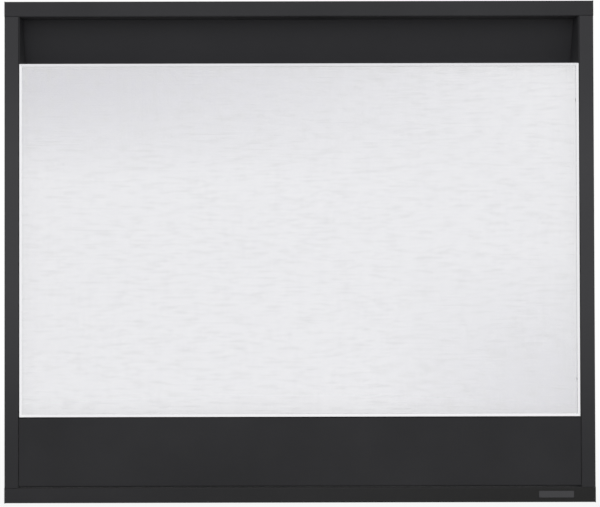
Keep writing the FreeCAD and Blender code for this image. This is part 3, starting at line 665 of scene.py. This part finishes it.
# Door bumpers: two small moulded rubber pads, pushed on the mid rail, on which the closed door rests.
# The rubber is a soft matt black with a dusty bloom.
RUBBER_LOW = "#161616"
RUBBER_HIGH = "#232322"
RUBBER_ROUGHNESS = 0.8
RUBBER_BLOOM_MM = 5
RUBBER_BLOOM_DEPTH_MM = 0.02
moulded_rubber = grained(
    "moulded_rubber", RUBBER_LOW, RUBBER_HIGH, RUBBER_ROUGHNESS, RUBBER_BLOOM_MM, RUBBER_BLOOM_DEPTH_MM
)
dress(moulded_rubber, "door_bumpers")

# Access door: a shallow pan folded from sheet, with its lower edge rolled round the hinge rod. A hat channel
# welded along the inside keeps its face flat. Both have the frame's powder, painted darker as painted shade.
DOOR_SHADED_COAT_LOW = "#252527"
DOOR_SHADED_COAT_HIGH = "#353537"
door_shaded_powder = powder_coat("door_painted_shade_powder_coat", DOOR_SHADED_COAT_LOW, DOOR_SHADED_COAT_HIGH)
dress(door_shaded_powder, "door_panel", "door_stiffener")

# Studio: a pale paper floor that takes the shadow, a white surround, and soft light from front and back.
# To the camera and to reflections both are white, so that metal shows them and not the lamps. Near the
# object a share of the lit floor is left in, with its shadow.
FLOOR_SIZE = 30.0
FLOOR_COLOUR = "#C8C8C6"
FLOOR_ROUGHNESS = 0.9
SHADOW_SHARE = 0.1
SHADOW_REACH = (0.5, 1.3)
WHITE = (1, 1, 1, 1)
AMBIENT = 0.42
# The power in watts and the place of each lamp.
LAMPS = {"key_light": (27.5, (-0.1, -1.8, 1.3)), "rear_light": (40, (0.5, 2.6, 1.9))}
LAMP_SIZE = 1.6


def seen_directly(tree):
    """1 for camera, glossy and transmission rays, 0 for the rays that light things."""
    path = add_node(tree, "ShaderNodeLightPath").outputs
    both = add_node(
        tree,
        "ShaderNodeMath",
        links={0: path["Is Camera Ray"], 1: path["Is Glossy Ray"]},
        operation="MAXIMUM",
    )
    return add_node(
        tree,
        "ShaderNodeMath",
        links={0: both.outputs[0], 1: path["Is Transmission Ray"]},
        operation="MAXIMUM",
    ).outputs[0]


half = FLOOR_SIZE / 2
floor_mesh = bpy.data.meshes.new("floor")
floor_mesh.from_pydata(
    [(-half, -half, 0), (half, -half, 0), (half, half, 0), (-half, half, 0)], [], [(0, 1, 2, 3)]
)
floor = bpy.data.objects.new("floor", floor_mesh)
bpy.context.scene.collection.objects.link(floor)
paper, tree, shader, place = new_material(
    "studio_paper", Roughness=FLOOR_ROUGHNESS, Base_Color=linear(FLOOR_COLOUR)
)
glow = add_node(tree, "ShaderNodeEmission")
away = add_node(tree, "ShaderNodeVectorMath", links={0: place}, operation="LENGTH")
fade = add_node(
    tree,
    "ShaderNodeMapRange",
    {"From Min": SHADOW_REACH[0], "From Max": SHADOW_REACH[1], "To Min": 1 - SHADOW_SHARE, "To Max": 1},
    {"Value": away.outputs["Value"]},
)
share = add_node(
    tree, "ShaderNodeMath", links={0: seen_directly(tree), 1: fade.outputs[0]}, operation="MULTIPLY"
)
mixed = add_node(
    tree,
    "ShaderNodeMixShader",
    links={0: share.outputs[0], 1: shader.outputs[0], 2: glow.outputs[0]},
)
tree.links.new(mixed.outputs[0], tree.nodes["Material Output"].inputs["Surface"])
floor_mesh.materials.append(paper)

surround = bpy.data.worlds.new("surround")
surround.use_nodes = True
tree = surround.node_tree
ambient = tree.nodes["Background"]
ambient.inputs["Color"].default_value = WHITE
ambient.inputs["Strength"].default_value = AMBIENT
backdrop = add_node(tree, "ShaderNodeBackground", {"Color": WHITE, "Strength": 1})
mixed = add_node(
    tree,
    "ShaderNodeMixShader",
    links={0: seen_directly(tree), 1: ambient.outputs[0], 2: backdrop.outputs[0]},
)
tree.links.new(mixed.outputs[0], tree.nodes["World Output"].inputs["Surface"])
bpy.context.scene.world = surround

centre = Vector((0, 0, (cad_box[0][2] + cad_box[1][2]) / 2))
for name, (power, spot) in LAMPS.items():
    lamp = bpy.data.lights.new(name, "AREA")
    lamp.energy = power
    lamp.size = LAMP_SIZE
    light = bpy.data.objects.new(name, lamp)
    light.location = spot
    light.rotation_euler = (centre - Vector(spot)).to_track_quat("-Z", "Y").to_euler()
    light.visible_camera = light.visible_glossy = False
    bpy.context.scene.collection.objects.link(light)

# Camera: nearly square on, a little left of the middle, tipped up and rolled by a fraction of a degree.
# The lens shift puts the object where it stands in the 600 by 507 picture.
VIEW_DISTANCE = 2.0
VIEW_WIDTH = 0.9807
SENSOR_WIDTH_MM = 36
CAMERA_X = -0.064
CAMERA_Z = 0.442
LEVEL = math.radians(90)
TIP_UP = math.radians(0.65)
ROLL = math.radians(0.125)
SHIFT_X = 0.0663
SHIFT_Y = -0.0592
lens = bpy.data.cameras.new("camera")
lens.sensor_width = SENSOR_WIDTH_MM
lens.lens = SENSOR_WIDTH_MM * VIEW_DISTANCE / VIEW_WIDTH
lens.shift_x = SHIFT_X
lens.shift_y = SHIFT_Y
camera = bpy.data.objects.new("camera", lens)
camera.location = (CAMERA_X, cad_box[0][1] - VIEW_DISTANCE, CAMERA_Z)
tipped = Matrix.Rotation(LEVEL + TIP_UP, 4, "X")
camera.rotation_euler = (tipped @ Matrix.Rotation(-ROLL, 4, "Z")).to_euler()
bpy.context.scene.collection.objects.link(camera)
bpy.context.scene.camera = camera
bpy.context.scene.view_settings.view_transform = "Standard"
